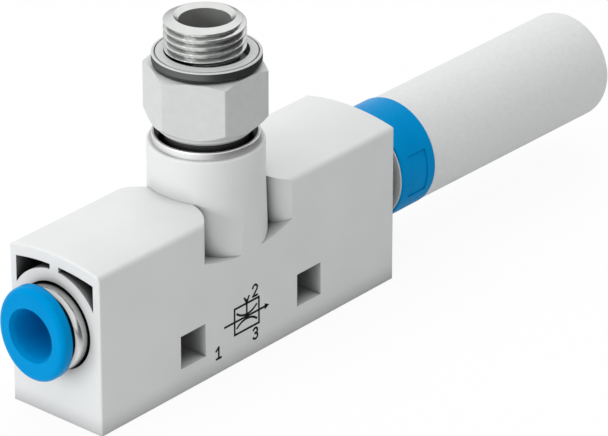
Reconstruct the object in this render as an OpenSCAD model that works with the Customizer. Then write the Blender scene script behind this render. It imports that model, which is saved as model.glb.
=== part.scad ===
// Vacuum ejector with a push-in pressure port, a threaded vacuum fitting on a
// tower and a plug-in exhaust silencer. Millimetres.
// X runs along the body towards the silencer, Z up. The origin lies on the
// base, under the tower's axis.

/* [Body] */
// Length of the body
body_length = 52; // [48:0.5:60]
// Width of the body, and diameter of its tower
body_width = 14; // [13.6:0.1:16]
// Height of the side faces
body_edge_height = 20.4; // [19.6:0.1:22.4]
// How far the crowned top rises above the side faces
crown_rise = 0.85; // [0.3:0.05:1.5]
// Rounding of the long edges between crown and sides
edge_round = 0.7; // [0.3:0.1:1]
// Rounding of the body's upright corners and of the crown's ends
corner_round = 0.25; // [0.1:0.05:0.5]
// Height of the through axis above the base
port_axis_height = 12.1; // [11.6:0.1:12.6]

/* [Tower] */
// Height of the tower's top above the base
tower_height = 26.5; // [26.2:0.1:32]
// How much wider the tower's radius is at its foot
tower_flare = 0.22; // [0.05:0.01:0.4]
// Distance from the tower's axis to the shoulder on the pressure side
notch_left = 8.3; // [7.2:0.1:8.5]
// Distance from the tower's axis to the shoulder on the exhaust side
notch_right = 7.3; // [7.2:0.1:8.5]
// Radius of the shoulders' rounded upright walls
notch_wall_round = 4.4; // [3:0.1:6]
// How far these walls reach in from the shoulders' edges on the side faces
notch_wall_reach = 2.15; // [1.9:0.05:2.5]
// Lowest height of the notch floor
notch_floor_height = 13.9; // [12.5:0.1:15]
// Radius of the hollow notch floor
notch_floor_radius = 22; // [16:1:40]

/* [Screw holes] */
// Side of each square screw hole
screw_hole_size = 4.3; // [4.2:0.1:4.5]
// Height of the screw holes' centres
screw_hole_height = 5.3; // [4.6:0.05:5.4]
// Distance between the two screw holes
screw_hole_spacing = 20.6; // [20:0.1:21.4]

/* [End recesses] */
// Wall between a recess and the side face
recess_side_wall = 1; // [0.8:0.1:1.6]
// Wall between a recess and the crowned top
recess_roof = 1.5; // [1.1:0.1:1.9]
// Thickness of the web between the two recesses
recess_web = 1.35; // [1:0.05:2]
// Radius of the round boss under the recesses
recess_boss_radius = 7; // [6.6:0.1:7.2]
// Depth of the recesses
recess_depth = 13; // [6:1:17]

/* [Pressure port] */
// Diameter of the tube that plugs in
tube_diameter = 6; // [5.8:0.1:6.2]
// Outer diameter of the metal sleeve
p_sleeve_diameter = 10.2; // [10.1:0.05:10.6]
// Length of the sleeve outside the body
p_sleeve_stand = 1.9; // [1.5:0.1:3]
// Length of the sleeve inside the body
p_sleeve_depth = 3.6; // [3.2:0.1:5]
// Wall of the sleeve
p_sleeve_wall = 0.55; // [0.4:0.05:0.6]
// Diameter of the release ring's flange
release_ring_diameter = 11.5; // [11:0.1:13]
// Thickness of the release ring's flange
release_ring_thickness = 1.2; // [1:0.1:2.5]
// Travel of the release ring
release_travel = 0.75; // [0.4:0.05:0.9]
// Depth of the tube socket behind the seal
tube_socket_depth = 4; // [3:0.25:5]

/* [Plug sockets] */
// Diameter of the plug stems of fitting and silencer
plug_diameter = 10; // [9.8:0.05:10.2]
// Outer diameter of the sleeves that the plugs pass through
plug_sleeve_diameter = 11.9; // [11.8:0.05:12.2]
// Wall of these sleeves
plug_sleeve_wall = 0.4; // [0.3:0.05:0.45]
// Length of these sleeves inside the body
plug_sleeve_depth = 5.2; // [4.5:0.1:6]
// Diameter of the sleeves' flanges
plug_flange_diameter = 12.9; // [12.6:0.05:13.4]
// Height of the sleeves' flanges
plug_flange_height = 0.93; // [0.7:0.01:1.2]
// Wall left between the vacuum fitting's socket and the receiver nozzle
v_socket_floor = 1.2; // [0.8:0.1:1.6]
// Depth of the silencer's socket
r_socket_depth = 12; // [10:0.25:12.5]

/* [Sealing and gripping] */
// Thickness of the toothed grip rings
grip_thickness = 0.25; // [0.2:0.05:0.35]
// Number of teeth on each grip ring
grip_teeth = 10; // [8:1:14]
// Length of the support rings
support_length = 1.6; // [1.5:0.1:2.2]

/* [Nozzles] */
// Diameter of the jet nozzle's body
jet_diameter = 4.74; // [4.4:0.02:5]
// Diameter of the jet nozzle's nose
jet_nose_diameter = 3.74; // [3.4:0.02:4]
// Length of the jet nozzle's body
jet_body_length = 8.3; // [7:0.1:8.5]
// Diameter of the jet nozzle's throat
jet_throat = 0.7; // [0.4:0.05:1.2]
// Gap between the jet's tip and the receiver nozzle
nozzle_gap = 3.7; // [2.5:0.1:5]
// Diameter of the receiver nozzle
receiver_diameter = 6.54; // [6.2:0.02:6.7]
// Diameter of the receiver nozzle's throat
receiver_throat = 1.2; // [0.8:0.05:1.8]
// Diameter of the suction chamber between the nozzles
chamber_diameter = 5.2; // [4.6:0.1:5.6]
// Distance from the tower's axis to the receiver nozzle
chamber_reach = 2.5; // [2.2:0.1:3]

/* [Vacuum fitting] */
// Width across the hexagon's flats
hex_across_flats = 13; // [12.6:0.1:14]
// Height of the hexagon's underside above the tower
hex_stand = 2.4; // [2.1:0.1:4]
// Height of the hexagon
hex_height = 7.2; // [5:0.1:9]
// Diameter of the round collar under the hexagon
stem_collar_diameter = 11.5; // [11:0.1:11.8]
// Height of the round collar under the hexagon
stem_collar_height = 1; // [0.6:0.1:1.2]
// Outer diameter of the thread
thread_diameter = 9.728; // [9.2:0.002:10.2]
// Diameter of the undercut below the thread
undercut_diameter = 8.3; // [7.9:0.1:8.5]
// Height of the thread's end above the hexagon
thread_reach = 5.95; // [5:0.05:10]
// Height of the undercut above the hexagon
undercut_height = 2; // [1.6:0.1:2.4]
// Diameter of the bore through the fitting
fitting_bore = 6.12; // [5:0.02:6.4]

/* [Sealing ring] */
// Outer diameter of the sealing ring
seal_ring_diameter = 13; // [12.6:0.1:13.6]
// Inner diameter of the sealing ring
seal_ring_bore = 10.28; // [10.2:0.02:10.6]
// Thickness of the sealing ring
seal_ring_thickness = 1.05; // [0.9:0.05:1.4]
// Gap between the sealing ring and the hexagon, filled by the rubber ring
seal_ring_lift = 0.3; // [0.2:0.05:0.5]

/* [Silencer] */
// How far the silencer's collar lies inside the body's sides
collar_inset = 0.05; // [0:0.05:0.5]
// Gap between the body and the collar
collar_gap = 1.85; // [1.1:0.05:3]
// Length of the collar
collar_length = 6.25; // [5:0.05:10]
// Depth of the bare panel sunk in the collar
panel_depth = 0.15; // [0.1:0.05:0.3]
// Step from the collar down to the porous element
element_step = 0.1; // [0.05:0.05:0.5]
// Length of the porous element
element_length = 35.1; // [20:0.1:60]
// Wall of the porous element
element_wall = 1.7; // [1.2:0.1:2]
// Rounding of the porous element's end
element_round = 1.2; // [0.5:0.1:1.5]
// Diameter of the bore through the silencer's stem
silencer_bore = 7; // [5:0.1:7.4]

/* [Hidden] */
$fn = 96;
// Radial gap of pieces that are pressed together
fit_gap = 0.03;
// Radial gap of pieces that slide or turn
running_gap = 0.1;
// Play that keeps a moving face off its stop
stop_gap = 0.05;
// Overrun of a cut past the face it opens
over = 1;

// body
body_half = body_length / 2;
tower_radius = body_width / 2;
crown_radius = (pow(body_width / 2, 2) + pow(crown_rise, 2)) / (2 * crown_rise);
crown_top = body_edge_height + crown_rise;
crown_centre = crown_top - crown_radius;

// tower and notch
tower_straight_from = body_edge_height + 1;
notch_middle = (notch_right - notch_left) / 2;
notch_round_offset = body_width / 2
    - sqrt(notch_wall_reach * (2 * notch_wall_round - notch_wall_reach));

// pressure port, depths counted from the body's end
tube_bore_r = tube_diameter / 2 + running_gap;
p_bore_r = p_sleeve_diameter / 2 + fit_gap;
p_mouth_r = p_bore_r + 0.32;
p_mouth_depth = 1.3;
p_nose = 0.7;
p_seal_section = p_bore_r - fit_gap - tube_bore_r;
p_support_top = p_sleeve_depth + grip_thickness;
p_seal_top = p_support_top + support_length;
p_bore_depth = p_seal_top + p_seal_section;
tube_stop_depth = p_bore_depth + tube_socket_depth;
p_sleeve_inner_r = p_sleeve_diameter / 2 - p_sleeve_wall;
p_lip_length = 0.6;
p_lip_r = p_sleeve_inner_r - 0.3;
shank_r = p_lip_r - running_gap;
flange_back = p_sleeve_stand + release_travel + stop_gap;
shank_end = p_sleeve_depth - release_travel - 0.25;
shank_slits = 4;
shank_slit_width = 0.6;
snap_r = p_sleeve_inner_r - running_gap;
snap_top = p_sleeve_stand - p_lip_length - stop_gap / 2;
snap_land = 0.3;
snap_length = 0.8;

// plug sockets, depths counted from the socket's mouth
plug_r = plug_diameter / 2;
socket_r = plug_r + running_gap;
plug_bore_r = plug_sleeve_diameter / 2 + fit_gap;
plug_seal_section = plug_bore_r - fit_gap - plug_r - stop_gap;
plug_support_top = plug_sleeve_depth + grip_thickness;
plug_seal_top = plug_support_top + support_length;
plug_bore_depth = plug_seal_top + plug_seal_section;

// nozzles, places along X
jet_bore_r = jet_diameter / 2 + fit_gap;
jet_nose_bore_r = jet_nose_diameter / 2 + fit_gap;
jet_back = -body_half + tube_stop_depth;
jet_start = jet_back + 2 * running_gap;
jet_shoulder = jet_start + jet_body_length;
jet_tip = chamber_reach - nozzle_gap;
receiver_bore_r = receiver_diameter / 2 + fit_gap;
v_socket_depth = tower_height - port_axis_height - receiver_bore_r - v_socket_floor;
receiver_end = body_half - r_socket_depth;
receiver_length = receiver_end - chamber_reach - 0.1;
ring_section = 0.8;
jet_wall = 0.8;
jet_tip_length = 1.4;
jet_flare_length = 1.2;
jet_groove_depth = 0.5;
jet_chamfer = 0.3;
receiver_funnel_length = 2;
receiver_throat_end = 5;
receiver_funnel_r = receiver_throat / 2 + 1.2;
receiver_outlet_wall = 1.3;

// vacuum fitting, heights above the base
hex_bottom = tower_height + hex_stand;
hex_top = hex_bottom + hex_height;
hex_corner_r = hex_across_flats / sqrt(3);
hex_bottom_r = hex_across_flats / 2 - 0.15;
hex_bottom_bevel = 1;
hex_top_r = hex_across_flats / 2 + 0.1;
hex_top_bevel = 0.53;
thread_r = thread_diameter / 2;
thread_top = hex_top + thread_reach;
thread_bevel = 0.75;
stem_end = tower_height - v_socket_depth + 0.2;

// silencer, places along X
collar_start = body_half + collar_gap;
collar_end = collar_start + collar_length;
collar_r = body_width / 2 - collar_inset;
element_r = collar_r - element_step;
spigot_r = element_r - element_wall;
spigot_length = 4.4;
panel_from = -114;
panel_span = 46;
panel_margin = 1.5;

// ---- frames of the three ports: +Z leads out of the body, 0 at its mouth ----

module at_pressure_port() {
    translate([-body_half, 0, port_axis_height]) rotate([0, -90, 0]) children();
}

module at_exhaust_port() {
    translate([body_half, 0, port_axis_height]) rotate([0, 90, 0]) children();
}

module at_vacuum_port() {
    translate([0, 0, tower_height]) children();
}

// Turns a piece drawn up +Z so that it runs along +X on the through axis
module along_axis(x) {
    translate([x, 0, port_axis_height]) rotate([0, 90, 0]) children();
}

// ---- shared shapes ----

module tube(outer_r, inner_r, low, high) {
    translate([0, 0, low]) difference() {
        cylinder(r = outer_r, h = high - low);
        translate([0, 0, -over]) cylinder(r = inner_r, h = high - low + 2 * over);
    }
}

module o_ring(inner_r, section, centre) {
    translate([0, 0, centre]) rotate_extrude()
        translate([inner_r + section / 2, 0]) circle(d = section, $fn = 48);
}

// Toothed spring-steel washer: a flat rim with teeth that lean inwards and down
module grip_ring(tip_r, bend_r, rim_r, lean, top) {
    t = grip_thickness;
    slot = 0.22 * 2 * PI * tip_r / grip_teeth;
    translate([0, 0, -top]) difference() {
        rotate_extrude() polygon([
            [rim_r, 0], [bend_r, 0], [tip_r, -lean],
            [tip_r, -lean - t], [bend_r, -t], [rim_r, -t]
        ]);
        for (i = [0 : grip_teeth - 1]) rotate([0, 0, i * 360 / grip_teeth])
            translate([tip_r - over, -slot / 2, -lean - 2 * t])
                cube([bend_r - tip_r + over, slot, lean + 4 * t]);
    }
}

// Spacer behind a grip ring, hollowed for the leaning teeth
module support_ring(tip_r, bend_r, rim_r, lean, top) {
    translate([0, 0, -top]) rotate_extrude() polygon([
        [rim_r, 0], [bend_r + 0.1, 0], [tip_r + 0.05, -lean - 0.15],
        [tip_r + 0.05, -support_length], [rim_r, -support_length]
    ]);
}

// ---- housing ----

// Cross-section of the body: flat sides and base under a crowned top, with
// arcs that blend the sides into the crown
module body_section() {
    r = edge_round;
    reach = body_width / 2 - r;
    blend = [reach, crown_centre + sqrt(pow(crown_radius - r, 2) - pow(reach, 2))];
    lean = [reach, blend[1] - crown_centre] / (crown_radius - r);
    difference() {
        intersection() {
            translate([-body_width / 2, 0]) square([body_width, crown_top]);
            translate([0, crown_centre]) circle(r = crown_radius, $fn = 360);
        }
        for (side = [0, 1]) mirror([side, 0]) difference() {
            polygon([blend, blend + [3 * r, 0], blend + [3 * r, 3 * r], blend + 3 * r * lean]);
            translate(blend) circle(r = r);
        }
    }
}

// Plan of the body with its upright edges rounded
module body_plan() {
    r = corner_round;
    square([body_length - 2 * r, body_width], center = true);
    square([body_length, body_width - 2 * r], center = true);
    for (x = [-1, 1], y = [-1, 1])
        translate([x * (body_half - r), y * (body_width / 2 - r)]) circle(r = r);
}

// Disc about the crown's centre line, which rounds the crown's two ends
module crown_disc() {
    r = corner_round;
    translate([0, 0, crown_centre]) rotate([0, 90, 0]) rotate_extrude($fn = 360) {
        translate([0, -body_half]) square([crown_radius - r, body_length]);
        translate([0, -body_half + r]) square([crown_radius, body_length - 2 * r]);
        for (x = [-1, 1]) translate([crown_radius - r, x * (body_half - r)]) circle(r = r);
    }
}

module body_block() {
    intersection() {
        rotate([90, 0, 90]) linear_extrude(body_length, center = true) body_section();
        linear_extrude(crown_top) body_plan();
        crown_disc();
    }
}

// Plan of the notch between the two shoulders, whose walls bulge into it
module notch_plan() {
    for (shoulder = [[0, notch_right], [180, notch_left]], flip = [0, 1])
        rotate(shoulder[0]) mirror([0, flip]) difference() {
            wall = shoulder[1] - notch_wall_reach;
            square([shoulder[1], body_width / 2 + over]);
            translate([wall, -over]) square([notch_wall_reach + over, notch_round_offset + over]);
            translate([wall + notch_wall_round, notch_round_offset])
                circle(r = notch_wall_round, $fn = 180);
        }
}

// Space around the tower, with a hollow floor
module notch_cut() {
    difference() {
        linear_extrude(crown_top + over) notch_plan();
        difference() {
            translate([-body_half, -body_width, -over])
                cube([body_length, 2 * body_width, notch_floor_height + notch_floor_radius / 2]);
            translate([notch_middle, 0, notch_floor_height + notch_floor_radius])
                rotate([90, 0, 0])
                    cylinder(r = notch_floor_radius, h = 3 * body_width, center = true, $fn = 240);
        }
    }
}

// Tower with a rounded rim and a foot that widens until it is flush with the
// body's sides
module tower() {
    r = corner_round;
    foot_r = tower_radius + tower_flare;
    intersection() {
        rotate_extrude($fn = 180) {
            polygon([[0, over], [foot_r, over], [foot_r, notch_floor_height],
                [tower_radius, tower_straight_from], [tower_radius, tower_height - r],
                [tower_radius - r, tower_height], [0, tower_height]]);
            translate([tower_radius - r, tower_height - r]) circle(r = r, $fn = 48);
        }
        translate([-body_width, -body_width / 2, 0])
            cube([2 * body_width, body_width, tower_height + over]);
    }
}

// Pair of recesses in an end face, above the port's boss
module end_recess_cut() {
    half = body_width / 2 - recess_side_wall;
    rotate([90, 0, 90]) translate([0, 0, body_half - recess_depth])
        linear_extrude(recess_depth + over) difference() {
            intersection() {
                translate([-half, port_axis_height]) square([2 * half, crown_top]);
                translate([0, crown_centre]) circle(r = crown_radius - recess_roof, $fn = 360);
            }
            translate([0, port_axis_height]) circle(r = recess_boss_radius);
            translate([-recess_web / 2, 0]) square([recess_web, crown_top]);
        }
}

module screw_hole_cut(side) {
    translate([side * screw_hole_spacing / 2, 0, screw_hole_height])
        cube([screw_hole_size, body_width + 2 * over, screw_hole_size], center = true);
}

// Stepped bore for the tube's cartridge, ending at the tube stop
module pressure_port_cut() {
    translate([0, 0, -p_mouth_depth]) cylinder(r = p_mouth_r, h = p_mouth_depth + over);
    translate([0, 0, -p_bore_depth]) cylinder(r = p_bore_r, h = p_bore_depth + over);
    translate([0, 0, -tube_stop_depth]) cylinder(r = tube_bore_r, h = tube_stop_depth);
}

// Stepped bore for a plug's cartridge and the end of its stem
module plug_socket_cut(depth) {
    translate([0, 0, -plug_bore_depth]) cylinder(r = plug_bore_r, h = plug_bore_depth + over);
    translate([0, 0, -depth]) cylinder(r = socket_r, h = depth);
}

// Bores for the nozzles, the chamber between them and its way up to the tower
module nozzle_cut() {
    chamber_start = -chamber_reach - 1;
    along_axis(jet_back - over) cylinder(r = jet_bore_r, h = jet_shoulder - jet_back + over);
    along_axis(jet_shoulder - over)
        cylinder(r = jet_nose_bore_r, h = chamber_start - jet_shoulder + 2 * over);
    along_axis(chamber_start) cylinder(d = chamber_diameter, h = chamber_reach - chamber_start + over);
    along_axis(chamber_reach)
        cylinder(r = receiver_bore_r, h = receiver_end - chamber_reach + over);
    translate([0, 0, port_axis_height])
        cylinder(d = fitting_bore, h = tower_height - v_socket_depth - port_axis_height + over);
}

module housing() {
    color("gainsboro") difference() {
        union() {
            difference() {
                body_block();
                notch_cut();
            }
            tower();
        }
        for (side = [-1, 1]) screw_hole_cut(side);
        end_recess_cut();
        mirror([1, 0, 0]) end_recess_cut();
        at_pressure_port() pressure_port_cut();
        at_vacuum_port() plug_socket_cut(v_socket_depth);
        at_exhaust_port() plug_socket_cut(r_socket_depth);
        nozzle_cut();
    }
}

// ---- pressure port ----

// Sleeve with a rounded nose that holds the release ring
module p_sleeve() {
    outer_r = p_sleeve_diameter / 2;
    color("silver") at_pressure_port() rotate_extrude() difference() {
        union() {
            translate([0, -p_sleeve_depth])
                square([outer_r, p_sleeve_depth + p_sleeve_stand - p_nose]);
            square([outer_r - p_nose, p_sleeve_stand]);
            translate([outer_r - p_nose, p_sleeve_stand - p_nose]) circle(r = p_nose, $fn = 48);
        }
        translate([0, -p_sleeve_depth - over])
            square([p_sleeve_inner_r, p_sleeve_depth + p_sleeve_stand - p_lip_length + over]);
        square([p_lip_r, p_sleeve_stand + over]);
    }
}

// Release ring: rounded flange on a slit shank with a snap edge behind the lip
module p_release_ring() {
    flange_r = release_ring_diameter / 2;
    front = flange_back + release_ring_thickness;
    r = release_ring_thickness / 2;
    mouth = 0.25;
    color("deepskyblue") at_pressure_port() difference() {
        rotate_extrude() difference() {
            union() {
                translate([0, flange_back + r / 2])
                    square([flange_r, release_ring_thickness - r * 1.5]);
                translate([0, flange_back]) square([flange_r - r / 2, release_ring_thickness - r]);
                translate([0, flange_back]) square([flange_r - r, release_ring_thickness]);
                translate([flange_r - r, front - r]) circle(r = r, $fn = 48);
                translate([flange_r - r / 2, flange_back + r / 2]) circle(r = r / 2, $fn = 48);
                polygon([[0, -shank_end], [shank_r, -shank_end],
                    [shank_r, snap_top - snap_length], [snap_r, snap_top - snap_land],
                    [snap_r, snap_top], [shank_r, snap_top], [shank_r, flange_back + r],
                    [0, flange_back + r]]);
            }
            translate([0, -shank_end - over]) square([tube_bore_r, shank_end + front + 2 * over]);
            polygon([[0, front + over], [0, front - mouth], [tube_bore_r, front - mouth],
                [tube_bore_r + mouth + over, front + over]]);
        }
        for (i = [0 : shank_slits - 1]) rotate([0, 0, (i + 0.5) * 360 / shank_slits])
            translate([0, -shank_slit_width / 2, -shank_end - over])
                cube([flange_r, shank_slit_width, shank_end + over + snap_top + stop_gap]);
    }
}

p_tip_r = tube_bore_r;
p_bend_r = tube_bore_r + 1.1;
p_rim_r = p_bore_r - fit_gap;
p_lean = 0.9;

module p_grip_ring() {
    color("lightsteelblue") at_pressure_port()
        grip_ring(p_tip_r, p_bend_r, p_rim_r, p_lean, p_sleeve_depth);
}

module p_support_ring() {
    color("whitesmoke") at_pressure_port()
        support_ring(p_tip_r, p_bend_r, p_rim_r, p_lean, p_support_top);
}

module p_seal() {
    color("dimgray") at_pressure_port()
        o_ring(tube_bore_r, p_seal_section, -p_seal_top - p_seal_section / 2);
}

// ---- nozzles ----

jet_groove = jet_start + jet_body_length * 0.55;
receiver_groove = chamber_reach + receiver_length * 0.35;

// Jet nozzle: wide inlet, narrow throat and a short flare at the tip
module jet_nozzle() {
    length = jet_tip - jet_start;
    body_r = jet_diameter / 2;
    nose_r = jet_nose_diameter / 2;
    throat_r = jet_throat / 2;
    flare_r = throat_r * 1.5;
    throat_top = length - jet_flare_length;
    groove_half = ring_section / 2 + stop_gap;
    color("goldenrod") along_axis(jet_start) difference() {
        rotate_extrude() difference() {
            polygon([[0, 0], [body_r - jet_chamfer, 0], [body_r, jet_chamfer],
                [body_r, jet_body_length], [nose_r, jet_body_length],
                [nose_r, length - jet_tip_length], [nose_r - jet_wall, length], [0, length]]);
            polygon([[0, -over], [body_r - jet_wall, -over], [body_r - jet_wall, jet_body_length],
                [throat_r, throat_top - throat_r], [throat_r, throat_top], [flare_r, length],
                [flare_r, length + over], [0, length + over]]);
        }
        tube(body_r + over, body_r - jet_groove_depth, jet_groove - jet_start - groove_half,
            jet_groove - jet_start + groove_half);
    }
}

module jet_o_ring() {
    color("dimgray") along_axis(jet_groove)
        o_ring(jet_diameter / 2 - jet_groove_depth, jet_groove_depth + fit_gap, 0);
}

// Receiver nozzle: funnel inlet, throat and a long flare towards the exhaust
module receiver_nozzle() {
    length = receiver_length;
    outer_r = receiver_diameter / 2;
    outlet_r = outer_r - receiver_outlet_wall;
    throat_r = receiver_throat / 2;
    color("whitesmoke") along_axis(chamber_reach) difference() {
        rotate_extrude() difference() {
            polygon([[0, 0], [outer_r, 0], [outer_r, length - 0.3], [outer_r - 0.3, length],
                [0, length]]);
            polygon([[0, -over], [receiver_funnel_r, -over], [receiver_funnel_r, 0],
                [throat_r, receiver_funnel_length], [throat_r, receiver_throat_end],
                [outlet_r, length], [outlet_r, length + over], [0, length + over]]);
        }
        tube(outer_r + over, outer_r - ring_section,
            receiver_groove - chamber_reach - ring_section / 2 - 0.1,
            receiver_groove - chamber_reach + ring_section / 2 + 0.1);
    }
}

module receiver_o_ring() {
    color("dimgray") along_axis(receiver_groove)
        o_ring(receiver_diameter / 2 - ring_section, ring_section + fit_gap, 0);
}

// ---- the two plug sockets ----

// Thin sleeve whose flange rests on the socket's mouth
module plug_sleeve() {
    outer_r = plug_sleeve_diameter / 2;
    inner_r = outer_r - plug_sleeve_wall;
    flange_r = plug_flange_diameter / 2;
    rim = 0.35;
    soft = 0.15;
    rotate_extrude() difference() {
        union() {
            translate([0, -plug_sleeve_depth]) square([outer_r, plug_sleeve_depth + over / 2]);
            square([flange_r, plug_flange_height - soft]);
            square([flange_r - soft, plug_flange_height]);
            translate([flange_r - soft, plug_flange_height - soft]) circle(r = soft, $fn = 32);
        }
        polygon([[0, -plug_sleeve_depth - over], [inner_r, -plug_sleeve_depth - over],
            [inner_r, 0], [flange_r - rim, plug_flange_height * 0.6],
            [flange_r - rim, plug_flange_height + over], [0, plug_flange_height + over]]);
    }
}

plug_tip_r = plug_r + stop_gap;
plug_bend_r = plug_tip_r + 0.55;
plug_rim_r = plug_bore_r - fit_gap;
plug_lean = 0.5;

module plug_grip_ring() {
    grip_ring(plug_tip_r, plug_bend_r, plug_rim_r, plug_lean, plug_sleeve_depth);
}

module plug_support_ring() {
    support_ring(plug_tip_r, plug_bend_r, plug_rim_r, plug_lean, plug_support_top);
}

module plug_seal() {
    o_ring(plug_tip_r, plug_seal_section, -plug_seal_top - plug_seal_section / 2);
}

module v_sleeve() { color("silver") at_vacuum_port() plug_sleeve(); }
module v_grip_ring() { color("lightsteelblue") at_vacuum_port() plug_grip_ring(); }
module v_support_ring() { color("whitesmoke") at_vacuum_port() plug_support_ring(); }
module v_seal() { color("dimgray") at_vacuum_port() plug_seal(); }
module r_sleeve() { color("silver") at_exhaust_port() plug_sleeve(); }
module r_grip_ring() { color("lightsteelblue") at_exhaust_port() plug_grip_ring(); }
module r_support_ring() { color("whitesmoke") at_exhaust_port() plug_support_ring(); }
module r_seal() { color("dimgray") at_exhaust_port() plug_seal(); }

// ---- vacuum fitting ----

// Hexagon whose corners are turned off above and below
module fitting_hex() {
    run = hex_corner_r + over;
    rise = hex_bottom_bevel * (run - hex_bottom_r) / (hex_corner_r - hex_bottom_r);
    fall = hex_top_bevel * (run - hex_top_r) / (hex_corner_r - hex_top_r);
    intersection() {
        translate([0, 0, hex_bottom]) cylinder(r = hex_corner_r, h = hex_height, $fn = 6);
        rotate_extrude() polygon([[0, hex_bottom], [hex_bottom_r, hex_bottom],
            [run, hex_bottom + rise], [run, hex_top - fall], [hex_top_r, hex_top], [0, hex_top]]);
    }
}

// Turned outline of the stem, collar, undercut and thread
module fitting_outline() {
    neck_r = undercut_diameter / 2;
    thread_start = hex_top + undercut_height;
    polygon([
        [0, stem_end], [plug_r - 0.6, stem_end], [plug_r, stem_end + 1],
        [plug_r, hex_bottom - stem_collar_height],
        [stem_collar_diameter / 2, hex_bottom - stem_collar_height],
        [stem_collar_diameter / 2, hex_bottom + over / 2], [neck_r, hex_bottom + over / 2],
        [neck_r, thread_start - thread_r + neck_r], [thread_r, thread_start],
        [thread_r, thread_top - thread_bevel], [thread_r - thread_bevel, thread_top],
        [0, thread_top]
    ]);
}

module vacuum_fitting() {
    bore_r = fitting_bore / 2;
    mouth_r = bore_r + 0.77;
    color("lightgray") difference() {
        union() {
            fitting_hex();
            rotate_extrude() fitting_outline();
        }
        translate([0, 0, stem_end - over]) cylinder(r = bore_r, h = thread_top - stem_end + 2 * over);
        translate([0, 0, thread_top - 0.45]) cylinder(r1 = bore_r, r2 = mouth_r, h = 0.45 + 0.001);
    }
}

// Sealing ring with a stepped outer edge and a groove below for the rubber ring
module sealing_ring() {
    outer_r = seal_ring_diameter / 2;
    inner_r = seal_ring_bore / 2;
    low = hex_top + seal_ring_lift;
    step = 0.28;
    color("lightgray") rotate_extrude() difference() {
        union() {
            translate([inner_r, low]) square([outer_r - inner_r, seal_ring_thickness - step]);
            translate([inner_r, low]) square([outer_r - inner_r - step, seal_ring_thickness]);
        }
        translate([rubber_inner_r - fit_gap, low - over])
            square([rubber_width + 2 * fit_gap, over + rubber_height - seal_ring_lift + fit_gap]);
    }
}

rubber_inner_r = seal_ring_bore / 2 + 0.2;
rubber_width = 0.86;
rubber_height = seal_ring_lift + 0.5;

// Rubber ring between the hexagon and the sealing ring
module sealing_o_ring() {
    r = 0.25;
    color("black") translate([0, 0, hex_top]) rotate_extrude() translate([rubber_inner_r, 0]) {
        translate([r, 0]) square([rubber_width - 2 * r, rubber_height]);
        translate([0, r]) square([rubber_width, rubber_height - 2 * r]);
        for (x = [r, rubber_width - r], y = [r, rubber_height - r])
            translate([x, y]) circle(r = r, $fn = 32);
    }
}

// ---- silencer ----

// Sector of a thin shell, for the bare panel sunk in the collar
module panel_cut() {
    reach = 2 * collar_r;
    intersection() {
        tube(collar_r + over, collar_r - panel_depth, panel_margin, collar_length - panel_margin);
        rotate([0, 0, panel_from]) linear_extrude(collar_length)
            polygon([[0, 0], [reach, 0],
                [reach * cos(panel_span / 2), reach * sin(panel_span / 2)],
                [reach * cos(panel_span), reach * sin(panel_span)]]);
    }
}

// Blue collar with the hollow stem that plugs into the body and a spigot that
// carries the porous element
module silencer_collar() {
    r = collar_r;
    soft = 0.25;
    stem = collar_start - receiver_end - 0.2;
    color("deepskyblue") along_axis(collar_start) difference() {
        rotate_extrude() difference() {
            union() {
                polygon([[0, -stem], [plug_r - 0.6, -stem], [plug_r, 1 - stem], [plug_r, soft],
                    [0, soft]]);
                translate([0, soft]) square([r, collar_length - 2 * soft]);
                square([r - soft, collar_length]);
                for (z = [soft, collar_length - soft]) translate([r - soft, z])
                    circle(r = soft, $fn = 32);
                square([spigot_r - fit_gap, collar_length + spigot_length]);
            }
            translate([0, -stem - over])
                square([silencer_bore / 2, stem + collar_length + spigot_length + 2 * over]);
        }
        panel_cut();
    }
}

// Porous cup, closed at its far end
module silencer_element() {
    r = element_r;
    soft = element_round;
    color("whitesmoke") along_axis(collar_end) rotate_extrude() difference() {
        union() {
            square([r, element_length - soft]);
            square([r - soft, element_length]);
            translate([r - soft, element_length - soft]) circle(r = soft, $fn = 64);
        }
        translate([0, -over]) square([spigot_r, element_length - element_wall + over]);
    }
}

housing();
p_sleeve();
p_release_ring();
p_grip_ring();
p_support_ring();
p_seal();
jet_nozzle();
jet_o_ring();
receiver_nozzle();
receiver_o_ring();
v_sleeve();
v_grip_ring();
v_support_ring();
v_seal();
vacuum_fitting();
sealing_ring();
sealing_o_ring();
r_sleeve();
r_grip_ring();
r_support_ring();
r_seal();
silencer_collar();
silencer_element();
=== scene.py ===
"""Looks of the vacuum ejector: camera, floor, light, materials and fine detail.

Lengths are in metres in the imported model's own frame: X along the body
towards the silencer, Z up the tower, the near side face at the lowest Y.
"""
import math

import bmesh
import bpy
from mathutils import Matrix, Vector


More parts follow.
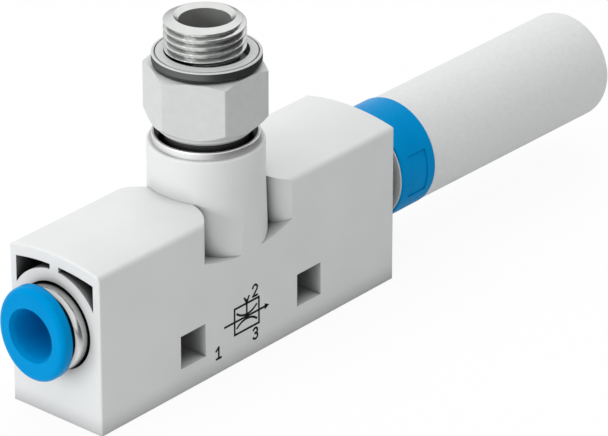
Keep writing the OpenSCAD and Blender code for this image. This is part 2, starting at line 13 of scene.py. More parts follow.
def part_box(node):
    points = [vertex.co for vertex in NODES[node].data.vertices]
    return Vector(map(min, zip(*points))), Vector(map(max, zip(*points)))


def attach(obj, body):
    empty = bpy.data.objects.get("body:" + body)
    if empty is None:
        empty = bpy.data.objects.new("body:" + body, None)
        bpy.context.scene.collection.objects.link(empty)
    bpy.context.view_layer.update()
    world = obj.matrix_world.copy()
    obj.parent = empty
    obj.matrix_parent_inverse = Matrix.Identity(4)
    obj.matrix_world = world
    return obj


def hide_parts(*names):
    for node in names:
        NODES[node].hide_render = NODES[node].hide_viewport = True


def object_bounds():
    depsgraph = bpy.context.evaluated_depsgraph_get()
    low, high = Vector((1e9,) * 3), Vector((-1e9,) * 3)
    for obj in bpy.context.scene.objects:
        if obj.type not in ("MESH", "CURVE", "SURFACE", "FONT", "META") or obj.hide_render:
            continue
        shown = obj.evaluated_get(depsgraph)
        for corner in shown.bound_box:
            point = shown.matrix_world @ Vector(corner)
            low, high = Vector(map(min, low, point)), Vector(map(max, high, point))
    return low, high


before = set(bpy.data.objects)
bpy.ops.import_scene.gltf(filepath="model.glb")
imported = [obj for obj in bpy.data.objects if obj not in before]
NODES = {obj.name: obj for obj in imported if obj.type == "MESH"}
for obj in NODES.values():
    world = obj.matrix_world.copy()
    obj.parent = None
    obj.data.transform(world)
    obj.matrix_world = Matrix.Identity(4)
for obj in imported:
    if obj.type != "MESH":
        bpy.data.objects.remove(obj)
cad_low, cad_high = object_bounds()
MM = 0.001

# ---- view ----

VIEW_TARGET = Vector((12.3, -4.5, 12.6)) * MM
VIEW_DISTANCE = 0.5672
VIEW_AZIMUTH = math.radians(-49.18)
VIEW_ELEVATION = math.radians(26.92)
LENS_MM = 281.6
SENSOR_MM = 36.0


def add_camera():
    """Long lens at the photograph's angle."""
    back = Vector((
        math.sin(VIEW_AZIMUTH) * math.cos(VIEW_ELEVATION),
        -math.cos(VIEW_AZIMUTH) * math.cos(VIEW_ELEVATION),
        math.sin(VIEW_ELEVATION),
    ))
    data = bpy.data.cameras.new("camera")
    data.lens = LENS_MM
    data.sensor_width = SENSOR_MM
    data.clip_start = 0.01
    data.clip_end = 20.0
    camera = bpy.data.objects.new("camera", data)
    camera.location = VIEW_TARGET + back * VIEW_DISTANCE
    camera.rotation_mode = "QUATERNION"
    camera.rotation_quaternion = (-back).to_track_quat("-Z", "Y")
    bpy.context.scene.collection.objects.link(camera)
    bpy.context.scene.camera = camera


# ---- node helpers ----


class Graph:
    """Short ways to add nodes to a node tree."""

    def __init__(self, tree):
        self.tree = tree

    def node(self, kind, **inputs):
        made = self.tree.nodes.new(kind)
        for name, value in inputs.items():
            made.inputs[name].default_value = value
        return made

    def link(self, source, target):
        self.tree.links.new(source, target)

    def math(self, operation, first, second):
        """Result of an operation on two sockets or numbers."""
        made = self.node("ShaderNodeMath")
        made.operation = operation
        for value, target in ((first, made.inputs[0]), (second, made.inputs[1])):
            if isinstance(value, (int, float)):
                target.default_value = value
            else:
                self.link(value, target)
        return made.outputs[0]

    def span(self, source, start, end, low, high):
        """Maps source from start..end to low..high."""
        made = self.node("ShaderNodeMapRange")
        limits = {"From Min": start, "From Max": end, "To Min": low, "To Max": high}
        for name, value in limits.items():
            made.inputs[name].default_value = value
        self.link(source, made.inputs["Value"])
        return made.outputs["Result"]

    def reach_along(self, vector, direction):
        """How far a vector goes along a direction."""
        made = self.node("ShaderNodeVectorMath")
        made.operation = "DOT_PRODUCT"
        self.link(vector, made.inputs[0])
        made.inputs[1].default_value = direction
        return made.outputs["Value"]


class Shader(Graph):
    """A Principled material with short ways to add textures to it."""

    def __init__(self, name, color, roughness, metallic=0.0):
        self.material = bpy.data.materials.new(name)
        self.material.use_nodes = True
        super().__init__(self.material.node_tree)
        self.bsdf = self.tree.nodes["Principled BSDF"]
        self.bsdf.inputs["Base Color"].default_value = (*color, 1.0)
        self.bsdf.inputs["Roughness"].default_value = roughness
        self.bsdf.inputs["Metallic"].default_value = metallic
        self.place = self.node("ShaderNodeTexCoord").outputs["Object"]

    def noise(self, scale, detail=3.0, stretch=(1.0, 1.0, 1.0)):
        """Noise with grains about 1 / scale metres across."""
        mapping = self.node("ShaderNodeMapping")
        mapping.inputs["Scale"].default_value = stretch
        self.link(self.place, mapping.inputs["Vector"])
        made = self.node("ShaderNodeTexNoise", Scale=scale, Detail=detail)
        self.link(mapping.outputs["Vector"], made.inputs["Vector"])
        return made.outputs["Fac"]

    def ramp(self, source, low, high, start=0.3, end=0.7):
        """Maps source between start and end to colours low to high."""
        made = self.node("ShaderNodeValToRGB")
        made.color_ramp.elements[0].position = start
        made.color_ramp.elements[0].color = (*low, 1.0)
        made.color_ramp.elements[1].position = end
        made.color_ramp.elements[1].color = (*high, 1.0)
        self.link(source, made.inputs["Fac"])
        return made.outputs["Color"]

    def color(self, source):
        self.link(source, self.bsdf.inputs["Base Color"])

    def paint_crevice_shade(self, reach, darkest, start=0.25, end=0.8):
        """Painted shade: darkens the colour where other surfaces close in within a reach in metres.
        """
        shade = self.node("ShaderNodeAmbientOcclusion", Distance=reach)
        shade.samples = 8
        mix = self.node("ShaderNodeMixRGB", Fac=1.0)
        mix.blend_type = "MULTIPLY"
        target = self.bsdf.inputs["Base Color"]
        self.link(target.links[0].from_socket, mix.inputs["Color1"])
        painted_shade = self.ramp(shade.outputs["AO"], (darkest,) * 3, (1.0,) * 3, start, end)
        self.link(painted_shade, mix.inputs["Color2"])
        self.link(mix.outputs["Color"], target)

    def roughness(self, source, low, high):
        self.link(self.span(source, 0.3, 0.7, low, high), self.bsdf.inputs["Roughness"])

    def bump(self, height, distance, strength=1.0, soften=0.0):
        """Adds relief of a depth in metres over any that is already there."""
        made = self.node("ShaderNodeBump", Strength=strength, Distance=distance)
        self.link(height, made.inputs["Height"])
        target = self.bsdf.inputs["Normal"]
        if target.is_linked:
            self.link(target.links[0].from_socket, made.inputs["Normal"])
        elif soften:
            edge = self.node("ShaderNodeBevel", Radius=soften)
            edge.samples = 4
            self.link(edge.outputs["Normal"], made.inputs["Normal"])
        self.link(made.outputs["Normal"], target)


# ---- materials ----


def light_grey_plastic():
    s = Shader("housing_plastic", (0.80, 0.81, 0.81), 0.42)
    s.color(s.ramp(s.noise(120.0, 2.0), (0.775, 0.785, 0.785), (0.81, 0.82, 0.818)))
    s.roughness(s.noise(900.0), 0.38, 0.5)
    s.bump(s.noise(7000.0, 2.0), 0.012 * MM, 0.4, soften=0.12 * MM)
    s.bump(s.noise(250.0, 1.0), 0.03 * MM, 0.3)
    # Painted shade: darker colour in holes and notches, and along tight creases.
    s.paint_crevice_shade(5.0 * MM, 0.01, 0.18, 0.68)
    s.paint_crevice_shade(0.3 * MM, 0.4, 0.1, 0.75)
    return s.material


def blue_plastic():
    s = Shader("blue_plastic", (0.0, 0.29, 0.67), 0.3)
    s.bsdf.inputs["Specular IOR Level"].default_value = 0.05
    s.bsdf.inputs["Specular Tint"].default_value = (0.0, 0.5, 1.0, 1.0)
    s.color(s.ramp(s.noise(200.0, 2.0), (0.0, 0.275, 0.65), (0.0, 0.305, 0.69)))
    s.roughness(s.noise(1500.0), 0.26, 0.38)
    s.bump(s.noise(3000.0, 1.0), 0.004 * MM, 0.3, soften=0.08 * MM)
    # Painted shade: darker colour inside the bore and in recesses.
    s.paint_crevice_shade(5.0 * MM, 0.05, 0.0, 0.6)
    return s.material


def white_plastic():
    s = Shader("white_plastic", (0.85, 0.85, 0.83), 0.45)
    s.color(s.ramp(s.noise(300.0, 2.0), (0.83, 0.83, 0.81), (0.87, 0.87, 0.85)))
    s.bump(s.noise(6000.0, 2.0), 0.01 * MM, 0.4)
    return s.material


def porous_plastic():
    """Sintered beads: coarse grain with pits and a mottled tint."""
    s = Shader("porous_plastic", (0.8, 0.81, 0.81), 0.85)
    s.color(s.ramp(s.noise(1600.0, 5.0), (0.785, 0.795, 0.795), (0.825, 0.835, 0.835)))
    beads = s.node("ShaderNodeTexVoronoi", Scale=5200.0)
    s.link(s.place, beads.inputs["Vector"])
    s.bump(beads.outputs["Distance"], 0.02 * MM, 0.35)
    s.bump(s.noise(2600.0, 4.0), 0.02 * MM, 0.2)
    return s.material


X_AXIS, Z_AXIS = 0, 2
# Default painted crevice shade for turned metal: reach in millimetres, darkest level, and where the
# darkening ends and starts.
TURNED_SHADE = (2.5, 0.03, 0.0, 0.6)


def turned_metal(name, color, roughness, axis, grooves=0.003, shade=TURNED_SHADE, metallic=1.0):
    """Metal with the fine rings that turning leaves round an axis.

    grooves is their depth in millimetres. shade is the painted shade in crevices: its reach
    in millimetres, its darkest level, and where the darkening ends and starts.
    """
    s = Shader(name, color, roughness, metallic)
    s.bsdf.inputs["Specular Tint"].default_value = (0.5, 0.5, 0.5, 1.0)
    darker = [c * 0.97 for c in color]
    lighter = [min(1, c * 1.02) for c in color]
    s.color(s.ramp(s.noise(900.0, 3.0), darker, lighter))
    s.roughness(s.noise(2500.0, 4.0), roughness * 0.9, roughness * 1.12)
    stretch = [0.02, 0.02, 0.02]
    stretch[axis] = 1.0
    s.bump(s.noise(14000.0, 2.0, stretch), grooves * MM, 0.3, soften=0.05 * MM)
    # Painted shade in crevices.
    s.paint_crevice_shade(shade[0] * MM, *shade[1:])
    return s.material


def spring_steel():
    s = Shader("spring_steel", (0.6, 0.62, 0.64), 0.25, 1.0)
    s.roughness(s.noise(3000.0), 0.2, 0.32)
    s.bump(s.noise(9000.0), 0.004 * MM, 0.4)
    return s.material


def brass():
    s = Shader("brass", (0.72, 0.55, 0.25), 0.28, 1.0)
    s.roughness(s.noise(3000.0), 0.22, 0.36)
    s.bump(s.noise(9000.0, 2.0, (1.0, 0.02, 0.02)), 0.006 * MM, 0.4)
    return s.material


def rubber():
    s = Shader("rubber", (0.025, 0.025, 0.026), 0.6)
    s.color(s.ramp(s.noise(1500.0), (0.018, 0.018, 0.019), (0.034, 0.034, 0.035)))
    s.bump(s.noise(8000.0), 0.01 * MM, 0.5)
    return s.material


def print_ink():
    s = Shader("print_ink", (0.012, 0.012, 0.013), 0.5)
    s.bsdf.inputs["Specular IOR Level"].default_value = 0.1
    s.color(s.ramp(s.noise(4000.0), (0.008, 0.008, 0.009), (0.02, 0.02, 0.021)))
    s.bump(s.noise(9000.0), 0.006 * MM, 0.5)
    return s.material


PLASTIC = light_grey_plastic()
BLUE = blue_plastic()
WHITE = white_plastic()
POROUS = porous_plastic()
SLEEVE_X = turned_metal(
    "nickel_x", (0.74, 0.74, 0.74), 0.2, X_AXIS, shade=(3.0, 0.05, 0.2, 0.95))
SLEEVE_Z = turned_metal("nickel_z", (0.84, 0.84, 0.84), 0.42, Z_AXIS)
# The satin finishes are mostly not metallic, to be as pale or as dark as in the photograph
FITTING = turned_metal(
    "fitting_metal", (0.67, 0.68, 0.68), 0.42, Z_AXIS,
    grooves=0.001, shade=(2.0, 0.05, 0.05, 0.5), metallic=0.08)
THREAD = turned_metal(
    "thread_metal", (0.70, 0.71, 0.70), 0.2, Z_AXIS, shade=(1.2, 0.3, 0.1, 0.7))
# Darker copy of the metal for the bore: painted shade inside it.
SHADED_BORE_METAL = turned_metal(
    "bore_metal_painted_shade", (0.42, 0.43, 0.42), 0.35, Z_AXIS,
    grooves=0.01, shade=(4.0, 0.02, 0.1, 0.8), metallic=0.5)
# Darker copy of the metal for the stem: painted shade under the hex.
SHADED_STEM_METAL = turned_metal(
    "stem_metal_painted_shade", (0.3, 0.31, 0.3), 0.4, Z_AXIS, shade=(3.0, 0.02, 0.2, 0.85), metallic=0.3)
RING_SIDE = turned_metal("ring_side_metal", (0.13, 0.135, 0.135), 0.35, Z_AXIS)
WASHER = turned_metal(
    "washer_metal", (0.8, 0.8, 0.79), 0.5, X_AXIS, shade=(1.0, 0.5, 0.0, 0.3), metallic=0.1)
STEEL = spring_steel()
BRASS = brass()
RUBBER = rubber()
INK = print_ink()

FINISH = {
    "housing": PLASTIC,
    "p_sleeve": SLEEVE_X,
    "p_release_ring": BLUE,
    "p_grip_ring": STEEL,
    "p_support_ring": WHITE,
    "p_seal": RUBBER,
    "jet_nozzle": BRASS,
    "jet_o_ring": RUBBER,
    "receiver_nozzle": WHITE,
    "receiver_o_ring": RUBBER,
    "v_sleeve": SLEEVE_Z,
    "v_grip_ring": STEEL,
    "v_support_ring": WHITE,
    "v_seal": RUBBER,
    "vacuum_fitting": FITTING,
    "sealing_ring": FITTING,
    "sealing_o_ring": RUBBER,
    "r_sleeve": SLEEVE_X,
    "r_grip_ring": STEEL,
    "r_support_ring": WHITE,
    "r_seal": RUBBER,
    "silencer_collar": BLUE,
    "silencer_element": POROUS,
}


def dress_nodes():
    for name, finish in FINISH.items():
        mesh = NODES[name].data
        mesh.materials.clear()
        mesh.materials.append(finish)


# ---- mesh helpers ----


def new_piece(name, vertices, faces, material, body):
    """Makes a mesh piece that rides on a body."""
    mesh = bpy.data.meshes.new(name)
    mesh.from_pydata(vertices, [], faces)
    mesh.validate()
    mesh.materials.append(material)
    piece = bpy.data.objects.new(name, mesh)
    bpy.context.scene.collection.objects.link(piece)
    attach(piece, body)
    return piece


SHARP_ANGLE = math.radians(28)


def shade_by_angle(piece):
    """Smooth shading that breaks at edges sharper than SHARP_ANGLE."""
    work = bmesh.new()
    work.from_mesh(piece.data)
    bmesh.ops.recalc_face_normals(work, faces=work.faces)
    for face in work.faces:
        face.smooth = True
    for edge in work.edges:
        edge.smooth = edge.calc_face_angle(0.0) < SHARP_ANGLE
    work.to_mesh(piece.data)
    work.free()


TURNS = 200
ABOUT_Z = Matrix.Identity(4)
ABOUT_X = Matrix(((0, 0, 1, 0), (1, 0, 0, 0), (0, 1, 0, 0), (0, 0, 0, 1)))


def lathe(name, rings, finishes, body, place=ABOUT_Z):
    """Closed turned piece from rings of (radius, height) functions and finish numbers."""
    vertices, faces, marks = [], [], []
    for ring, _ in rings:
        for i in range(TURNS):
            angle = 2 * math.pi * i / TURNS
            radius, height = ring(angle)
            spot = Vector((radius * math.cos(angle), radius * math.sin(angle), height))
            vertices.append(place @ spot)
    count = len(rings)
    for j, (_, mark) in enumerate(rings):
        here, there = j * TURNS, (j + 1) % count * TURNS
        for i in range(TURNS):
            k = (i + 1) % TURNS
            faces.append((here + i, here + k, there + k, there + i))
            marks.append(mark)
    piece = new_piece(name, vertices, faces, finishes[0], body)
    for finish in finishes[1:]:
        piece.data.materials.append(finish)
    piece.data.polygons.foreach_set("material_index", marks)
    shade_by_angle(piece)
    return piece


def rounding(radius, steps):
    """Quarter circle: how far each point stays short of the corner, across and along."""
    turns = [math.radians(90 * i / steps) for i in range(steps + 1)]
    return [(radius * (1 - math.cos(turn)), radius * (1 - math.sin(turn))) for turn in turns]


def along_x(outline):
    """Rings for a lathe about X from (radius, x) pairs."""
    return [(lambda angle, r=r, x=x: (r, x), 0) for r, x in outline]


# ---- vacuum fitting with its real thread ----

THREAD_PITCH = 0.907 * MM
THREAD_DEPTH = 0.581 * MM
# Share of a turn by which the helix is turned round the axis
THREAD_START = 0.5
# Height of the vee before its crest and root are cut off, and the crest's share of that cut
FLANK_HEIGHT = 1.1 * MM
CREST_SHARE = 0.35
RINGS_PER_TURN = 36

# Places of a finish in the fitting's list of finishes; the inside and stem places take darker metal
# as painted shade
OUTSIDE, THREADED, INSIDE_SHADED, STEM_SIDE_SHADED = range(4)


def hex_radius(angle, flat_radius):
    """Distance from the axis to a hexagon's side, corners at multiples of 60 degrees."""
    side = math.radians(60)
    return flat_radius / math.cos((angle % side) - side / 2)


def thread_dip(angle, z):
    """Depth of the thread's cut-off vee at a place, from 0 at a crest."""
    phase = (z / THREAD_PITCH - angle / (2 * math.pi) + THREAD_START) % 1.0
    vee = 1.0 - abs(2.0 * phase - 1.0)
    spare = (FLANK_HEIGHT - THREAD_DEPTH) * CREST_SHARE
    return min(max(vee * FLANK_HEIGHT - spare, 0.0), THREAD_DEPTH)


def fitting_rings():
    """The fitting's closed outline, ring by ring: (radius, height) at an angle, and a finish."""
    low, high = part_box("vacuum_fitting")
    ring_low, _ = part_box("sealing_ring")
    corner, flat = high[0], high[1]
    rise, rubber_gap, hex_height, undercut = 0.08 * MM, 0.3 * MM, 7.2 * MM, 1.3 * MM
    stem_low, top = low[2], high[2] + rise
    hex_top = ring_low[2] - rubber_gap
    hex_bottom = hex_top - hex_height
    thread_low = hex_top + undercut
    under_r, under_bevel = flat - 0.15 * MM, 1.0 * MM
    over_r, over_bevel = flat + 0.1 * MM, 0.53 * MM
    over_bevel_width = 0.3 * MM
    stem_r, lead_in, lead_in_height = 5.0 * MM, 0.6 * MM, 1.0 * MM
    collar_r, collar_height, collar_step = 5.9 * MM, 1.0 * MM, 0.05 * MM
    neck_r, thread_r = 4.15 * MM, 4.864 * MM
    bore_r, mouth_r, mouth_depth = 3.06 * MM, 3.65 * MM, 0.53 * MM
    # The thread's end falls away from the mouth by this much for each unit outwards
    cone_fall, rim_width = 0.45, 0.15 * MM

    def circle(radius, height):
        return lambda angle: (radius, height)

    def lower_corner(angle):
        radius = hex_radius(angle, flat)
        return radius, hex_bottom + under_bevel * (radius - under_r) / (corner - under_r)

    def upper_corner(angle):
        radius = hex_radius(angle, flat)
        if radius <= over_r:
            return radius, hex_top
        return radius, hex_top - over_bevel * (radius - over_r) / (corner - over_r)

    def thread(height):
        cap = min(mouth_r + (top - height) / cone_fall, neck_r + (height - thread_low))
        return lambda angle: (min(cap, thread_r - thread_dip(angle, height)), height)

    rings = [
        (circle(bore_r, top - mouth_depth), INSIDE_SHADED),
        (circle(bore_r, stem_low), INSIDE_SHADED),
        (circle(stem_r - lead_in, stem_low), STEM_SIDE_SHADED),
        (circle(stem_r, stem_low + lead_in_height), STEM_SIDE_SHADED),
        (circle(stem_r, hex_bottom - collar_height - collar_step), STEM_SIDE_SHADED),
        (circle(collar_r - 0.5 * MM, hex_bottom - collar_height), OUTSIDE),
        (circle(collar_r - 0.1 * MM, hex_bottom - 0.6 * MM), OUTSIDE),
        (circle(collar_r, hex_bottom), OUTSIDE),
        (circle(under_r, hex_bottom), OUTSIDE),
        (lower_corner, OUTSIDE),
        (upper_corner, OUTSIDE),
        (circle(over_r - over_bevel_width, hex_top), OUTSIDE),
        (circle(neck_r, hex_top), THREADED),
    ]
    rim = top - cone_fall * rim_width
    steps = round((rim - thread_low) / THREAD_PITCH * RINGS_PER_TURN)
    for i in range(steps + 1):
        rings.append((thread(thread_low + (rim - thread_low) * i / steps), THREADED))
    rings.append((circle(mouth_r, top), THREADED))
    return rings


def build_fitting():
    """Turned fitting with a helical thread, in the order of finishes that its rings name."""
    finishes = [FITTING, THREAD, SHADED_BORE_METAL, SHADED_STEM_METAL]
    piece = lathe("fitting_detail", fitting_rings(), finishes, "fitting")
    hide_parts("vacuum_fitting")


def build_sealing_ring():
    """Ring a little off centre, with a groove and a lip round its top and a rubber foot."""
    low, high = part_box("sealing_ring")
    rise, groove = 0.18 * MM, 0.13 * MM
    inner, outer, bottom, top = 5.0 * MM, high[0], low[2], high[2] + rise
    face, side, foot = range(3)
    outline = [
        (inner, bottom, face),
        (inner, top + 0.08 * MM, face),
        (inner + 0.05 * MM, top + 0.12 * MM, face),
        (outer - 0.5 * MM, top, face),
        (outer - 0.48 * MM, top - groove, side),
        (outer - 0.35 * MM, top - groove, face),
        (outer - 0.33 * MM, top - 0.03 * MM, face),
        (outer - 0.1 * MM, top - 0.03 * MM, face),
        (outer, top - groove, side),
        (outer, top - 0.95 * MM, side),
        (outer - 0.08 * MM, top - 1.0 * MM, foot),
        (outer - 0.2 * MM, bottom, foot),
    ]
    rings = [(lambda angle, r=r, z=z: (r, z), mark) for r, z, mark in outline]
    aside = Matrix.Translation((0.13 * MM, -0.15 * MM, 0))
    finishes = [FITTING, RING_SIDE, RUBBER]
    piece = lathe("sealing_ring_detail", rings, finishes, "fitting", aside)
    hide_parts("sealing_ring")


# ---- pressure port: sleeve with a round nose, release ring with its oval flange ----


def build_port_sleeve():
    """Metal sleeve that swells a little outside the bore and rounds over into its lip."""
    low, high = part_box("p_sleeve")
    wall, lip, lip_length, lip_edge = 0.55 * MM, 0.3 * MM, 0.6 * MM, 0.05 * MM
    swell, nose, stand = 0.13 * MM, 1.0 * MM, 1.9 * MM
    front, inner_end = low[0], high[0]
    body_face = front + stand
    fitted_r = high[1]
    swollen_r, inner_r = fitted_r + swell, fitted_r - wall
    lip_r = inner_r - lip
    outline = [
        (fitted_r, inner_end),
        (fitted_r, body_face + 1.2 * MM),
        (swollen_r, body_face + 0.8 * MM),
    ]
    outline += [(swollen_r - across, front + along) for across, along in rounding(nose, 9)]
    outline += [
        (lip_r + lip_edge, front),
        (lip_r, front + lip_edge),
        (lip_r, front + lip_length),
        (inner_r, front + lip_length),
        (inner_r, inner_end),
    ]
    place = Matrix.Translation((0, 0, (low[2] + high[2]) / 2)) @ ABOUT_X
    piece = lathe("port_sleeve_detail", along_x(outline), [SLEEVE_X], "body", place)
    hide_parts("p_sleeve")


def build_release_ring():
    """Blue ring: oval rounded flange, round bore with a bevelled mouth, and a plain shank."""
    low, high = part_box("p_release_ring")
    front, back, inner_end = low[0] - 0.15 * MM, low[0] + 1.05 * MM, high[0]
    half_width, half_height = 5.2 * MM, 5.9 * MM
    bore_r, mouth_r, shank_r = 3.05 * MM, 3.38 * MM, 3.95 * MM
    face_round, back_round = 0.75 * MM, 0.4 * MM
    aside, up = 0.1 * MM, 0.15 * MM

    def circle(radius):
        return lambda angle: radius

    def oval(inset):
        def radius(angle):
            reach = math.hypot(math.cos(angle) / half_width, math.sin(angle) / half_height)
            return 1 / reach - inset
        return radius

    outline = [(circle(shank_r), inner_end), (circle(shank_r), back)]
    outline += [(oval(along), back + across) for across, along in rounding(back_round, 6)]
    outline += [(oval(across), front + along) for across, along in rounding(face_round, 9)]
    outline += [
        (circle(mouth_r), front),
        (circle(bore_r + 0.12 * MM), front + 0.5 * MM),
        (circle(bore_r), front + 0.8 * MM),
        (circle(bore_r), inner_end),
    ]
    rings = [(lambda angle, r=r, x=x: (r(angle), x), 0) for r, x in outline]
    height = (low[2] + high[2]) / 2
    place = Matrix.Translation((0, aside, height + up)) @ ABOUT_X
    piece = lathe("release_ring_detail", rings, [BLUE], "release", place)
    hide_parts("p_release_ring")


# ---- bright washer on the silencer's inner face ----


def build_silencer_washer():
    """Thin plated washer on the silencer's inner face, riding with it."""
    _, housing_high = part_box("housing")
    low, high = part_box("silencer_collar")
    collar_gap, sunk, thickness, edge = 1.85 * MM, 0.02 * MM, 0.16 * MM, 0.06 * MM
    seat = housing_high[0] + collar_gap + sunk
    front = seat - thickness
    inner_r, outer_r = 4.4 * MM, high[1] - 0.22 * MM
    outline = [
        (inner_r, seat),
        (inner_r, front + edge),
        (inner_r + edge, front),
        (outer_r - edge, front),
        (outer_r, front + edge),
        (outer_r, seat),
    ]
    place = Matrix.Translation((0, 0, (low[2] + high[2]) / 2)) @ ABOUT_X
    lathe("silencer_washer", along_x(outline), [WASHER], "silencer", place)


# ---- silencer's porous cup, leaning as the photograph shows it ----

SILENCER_LEAN = math.radians(0.6)


def build_silencer_cup():
    """Closed porous cup that widens by a trace and leans down about the body's end."""
    low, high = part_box("silencer_element")
    _, housing_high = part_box("housing")
    start, end, radius = low[0], high[0], high[1]
    pivot_x = housing_high[0]
    narrow_r, wide_r = radius - 0.03 * MM, radius + 0.08 * MM
    wall, soft, centre = 1.7 * MM, 1.2 * MM, 0.01 * MM
    hollow_r = radius - wall + 0.05 * MM
    outline = [(hollow_r, start), (narrow_r, start)]
    outline += [(wide_r - across, end - along) for across, along in rounding(soft, 12)]
    outline += [(centre, end), (centre, end - wall), (hollow_r, end - wall)]
    to_pivot = Matrix.Translation((pivot_x, 0, (low[2] + high[2]) / 2))
    lean = Matrix.Rotation(SILENCER_LEAN, 4, "Y")
    place = to_pivot @ lean @ Matrix.Translation((-pivot_x, 0, 0)) @ ABOUT_X
    piece = lathe("silencer_cup", along_x(outline), [POROUS], "silencer", place)
    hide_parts("silencer_element")


# ---- printed symbol on the near side ----

PRINT_THICKNESS = 0.015 * MM
STROKE = 0.28 * MM
ARC_STEPS = 14


def stroke_mesh(paths, width):
    """Flat strips of even width along open paths of (x, z) points in millimetres."""
    vertices, faces = [], []
    face_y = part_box("housing")[0][1]
    for path in paths:
        points = [Vector((x * MM, z * MM)) for x, z in path]
        start = len(vertices)
        for i, point in enumerate(points):
            before = points[max(i - 1, 0)]
            after = points[min(i + 1, len(points) - 1)]
            along = (after - before).normalized()
            side = Vector((-along.y, along.x)) * width / 2
            reach = along * (width / 2) * ((i == len(points) - 1) - (i == 0))
            for depth in (0.0, PRINT_THICKNESS):
                for sign in (1, -1):
                    spot = point + side * sign + reach
                    vertices.append((spot.x, face_y - depth, spot.y))
        for i in range(len(points) - 1):
            a, b = start + 4 * i, start + 4 * (i + 1)
            faces += [(a + 2, a + 3, b + 3, b + 2), (a, b, b + 1, a + 1)]
            faces += [(a, a + 2, b + 2, b), (a + 1, b + 1, b + 3, a + 3)]
        end = start + 4 * (len(points) - 1)
        faces += [(start, start + 1, start + 3, start + 2), (end, end + 2, end + 3, end + 1)]
    return vertices, faces


def arc_path(centre, radius, start, end):
    """Points on an arc, angles in degrees from +X towards +Z."""
    points = []
    for i in range(ARC_STEPS + 1):
        angle = math.radians(start + (end - start) * i / ARC_STEPS)
        across, up = radius * math.cos(angle), radius * math.sin(angle)
        points.append((centre[0] + across, centre[1] + up))
    return points


# Print sizes from here on are in millimetres
SYMBOL_X = -0.9
FLOW_Z = 5.55
BOX_HALF_WIDTH = 2.16
BOX_TOP, BOX_BOTTOM = 1.72, -1.7
FLOW_LEAD_IN, FLOW_LEAD_OUT = 1.7, 1.2
ARROW_TIP, ARROW_LENGTH, ARROW_HALF_WIDTH = 1.85, 0.82, 0.42
DIGIT_HEIGHT = 1.45
DIGIT_PLACES = {1: (-6.35, 1.95), 2: (0.2, 7.68), 3: (0.25, 1.93)}


def symbol_paths():
    """Box with a flow line through it, a suction line from above and two throat curves."""
    left, right = SYMBOL_X - BOX_HALF_WIDTH, SYMBOL_X + BOX_HALF_WIDTH
    top, bottom = FLOW_Z + BOX_TOP, FLOW_Z + BOX_BOTTOM
    throat_radius, throat_gap, throat_span = 2.6, 0.28, 41
    barb_width, barb_top, barb_foot = 0.38, 0.78, 0.08
    above = FLOW_Z + throat_gap + throat_radius
    below = FLOW_Z - throat_gap - throat_radius
    return [
        [(left, top), (right, top)],
        [(left, bottom), (right, bottom)],
        [(left, bottom), (left, top)],
        [(right, bottom), (right, top)],
        [(left - FLOW_LEAD_IN, FLOW_Z), (right + FLOW_LEAD_OUT, FLOW_Z)],
        [(SYMBOL_X, top + 0.4), (SYMBOL_X, FLOW_Z)],
        [(SYMBOL_X - barb_width, top + barb_top), (SYMBOL_X, top + barb_foot)],
        [(SYMBOL_X + barb_width, top + barb_top), (SYMBOL_X, top + barb_foot)],
        arc_path((SYMBOL_X, above), throat_radius, -90 - throat_span, -90 + throat_span),
        arc_path((SYMBOL_X, below), throat_radius, 90 + throat_span, 90 - throat_span),
    ]


def digit_paths(digit, x, z):
    """Plain stroked numeral 1, 2 or 3 with its lower left corner at (x, z)."""
    h, w = DIGIT_HEIGHT, DIGIT_HEIGHT * 0.52
    if digit == 1:
        return [
            [(x + 0.02, z + 0.76 * h), (x + 0.6 * w, z + h)],
            [(x + 0.6 * w, z + h), (x + 0.6 * w, z)],
            [(x + 0.1 * w, z), (x + 1.1 * w, z)],
        ]
    if digit == 2:
        bowl = arc_path((x + w / 2, z + 0.72 * h), 0.28 * h, 165, -40)
        return [bowl + [(x + 0.02, z)], [(x, z), (x + w, z)]]
    upper = arc_path((x + 0.46 * w, z + 0.75 * h), 0.25 * h, 150, -90)
    lower = arc_path((x + 0.46 * w, z + 0.27 * h), 0.27 * h, 90, -150)
    return [upper, lower]


def arrow_head():
    """Filled arrow head at the end of the flow line."""
    face_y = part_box("housing")[0][1]
    tip = SYMBOL_X + BOX_HALF_WIDTH + ARROW_TIP
    tail = tip - ARROW_LENGTH
    corners = [(tip, FLOW_Z), (tail, FLOW_Z + ARROW_HALF_WIDTH), (tail, FLOW_Z - ARROW_HALF_WIDTH)]
    vertices = []
    for depth in (0.0, PRINT_THICKNESS):
        vertices += [(x * MM, face_y - depth, z * MM) for x, z in corners]
    faces = [(0, 1, 2), (3, 5, 4), (0, 3, 4, 1), (1, 4, 5, 2), (2, 5, 3, 0)]
    return vertices, faces


def build_print():
    """Black port symbol and port numbers, raised by the thickness of the ink."""
    digits = []
    for digit, (x, z) in DIGIT_PLACES.items():
        digits += digit_paths(digit, x, z)
    groups = [
        ("port_symbol", stroke_mesh(symbol_paths(), STROKE)),
        ("port_numbers", stroke_mesh(digits, STROKE)),
        ("flow_arrow", arrow_head()),
    ]
    for name, (vertices, faces) in groups:
        new_piece(name, vertices, faces, INK, "body")


# ---- floor, world and lamps ----

# Shiny surfaces see the floor and the sky fade towards one side, which the camera doesn't,
# for the dark bands in the metal. A level of 1 is white, and a pair runs bright to dim.
FLOOR_REACH = 4.0
FLOOR_GAP = 0.05 * MM
FLOOR_LEVEL = 1.02
FLOOR_SHARE = 0.9
FLOOR_DARK_SIDE = (0.57, -0.82, 0.0)
FLOOR_MIRRORED = (FLOOR_LEVEL, 0.12)
FLOOR_FADE = (-0.005, 0.03)
SKY_LEVEL = 0.4
SKY_SEEN = 1.0
SKY_DARK_SIDE = (0.5, -0.75, -0.43)
SKY_MIRRORED = (1.12, 0.12)
SKY_FADE = (0.42, 0.68)


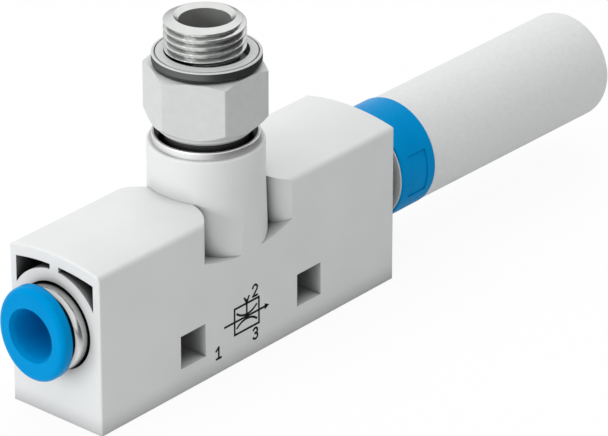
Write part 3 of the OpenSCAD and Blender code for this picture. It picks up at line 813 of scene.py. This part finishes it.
def add_floor():
    """Pale floor that looks nearly white to the camera and keeps a faint shadow."""
    r = FLOOR_REACH
    mesh = bpy.data.meshes.new("floor")
    mesh.from_pydata([(-r, -r, 0), (r, -r, 0), (r, r, 0), (-r, r, 0)], [], [(0, 1, 2, 3)])
    floor = bpy.data.objects.new("floor", mesh)
    floor.location.z = cad_low.z - FLOOR_GAP
    bpy.context.scene.collection.objects.link(floor)
    s = Shader("floor", (0.8, 0.8, 0.8), 0.9)
    s.bsdf.inputs["Specular IOR Level"].default_value = 0.0
    s.color(s.ramp(s.noise(30.0), (0.795, 0.795, 0.795), (0.805, 0.805, 0.805)))
    path = s.node("ShaderNodeLightPath")
    glossy = path.outputs["Is Glossy Ray"]
    seen = s.math("MAXIMUM", path.outputs["Is Camera Ray"], path.outputs["Is Transmission Ray"])
    share = s.math("MULTIPLY", s.math("ADD", seen, glossy), FLOOR_SHARE)
    bright, dim = FLOOR_MIRRORED
    change = s.span(
        s.reach_along(s.place, FLOOR_DARK_SIDE), *FLOOR_FADE, bright - FLOOR_LEVEL, dim - FLOOR_LEVEL)
    level = s.math("ADD", s.math("MULTIPLY", glossy, change), FLOOR_LEVEL)
    white = s.node("ShaderNodeEmission")
    s.link(level, white.inputs["Strength"])
    both = s.node("ShaderNodeMixShader")
    s.link(share, both.inputs["Fac"])
    s.link(s.bsdf.outputs["BSDF"], both.inputs[1])
    s.link(white.outputs["Emission"], both.inputs[2])
    s.link(both.outputs["Shader"], s.tree.nodes["Material Output"].inputs["Surface"])
    mesh.materials.append(s.material)


def add_world():
    """Low even sky that the camera sees white and shiny surfaces see fade to one side."""
    world = bpy.data.worlds.new("world")
    bpy.context.scene.world = world
    world.use_nodes = True
    g = Graph(world.node_tree)
    background = g.tree.nodes["Background"]
    background.inputs["Color"].default_value = (1.0, 1.0, 1.0, 1.0)
    path = g.node("ShaderNodeLightPath")
    seen = g.math("MAXIMUM", path.outputs["Is Camera Ray"], path.outputs["Is Transmission Ray"])
    direction = g.node("ShaderNodeTexCoord").outputs["Generated"]
    bright, dim = SKY_MIRRORED
    change = g.span(
        g.reach_along(direction, SKY_DARK_SIDE), *SKY_FADE, bright - SKY_LEVEL, dim - SKY_LEVEL)
    level = g.math("ADD", g.math("MULTIPLY", seen, SKY_SEEN - SKY_LEVEL), SKY_LEVEL)
    level = g.math("ADD", level, g.math("MULTIPLY", path.outputs["Is Glossy Ray"], change))
    g.link(level, background.inputs["Strength"])


LIGHT_TARGET = Vector((0.01, 0.0, 0.012))


def add_softbox(name, azimuth, elevation, size, watts, mirrored=True):
    """Square lamp a metre from the object, azimuth in degrees from +X towards +Y.

    mirrored says whether shiny surfaces show the lamp itself.
    """
    turn, rise = math.radians(azimuth), math.radians(elevation)
    away = Vector((math.cos(turn) * math.cos(rise), math.sin(turn) * math.cos(rise), math.sin(rise)))
    data = bpy.data.lights.new(name, "AREA")
    data.size = size
    data.energy = watts
    lamp = bpy.data.objects.new(name, data)
    lamp.visible_glossy = mirrored
    lamp.location = LIGHT_TARGET + away
    lamp.rotation_mode = "QUATERNION"
    lamp.rotation_quaternion = (-away).to_track_quat("-Z", "Y")
    bpy.context.scene.collection.objects.link(lamp)


def add_lights():
    add_world()
    add_softbox("left_softbox", 162, 27, 0.25, 1.1, mirrored=False)
    add_softbox("low_left_softbox", 174, 6, 0.6, 4.8)
    add_softbox("top_softbox", 90, 89, 1.2, 6.0, mirrored=False)
    add_softbox("rim_softbox", 45, 30, 0.8, 1.55, mirrored=False)


# ---- the scene ----

bpy.context.scene.view_settings.view_transform = "Standard"
add_camera()
dress_nodes()
build_fitting()
build_sealing_ring()
build_port_sleeve()
build_release_ring()
build_silencer_washer()
build_silencer_cup()
build_print()
add_floor()
add_lights()
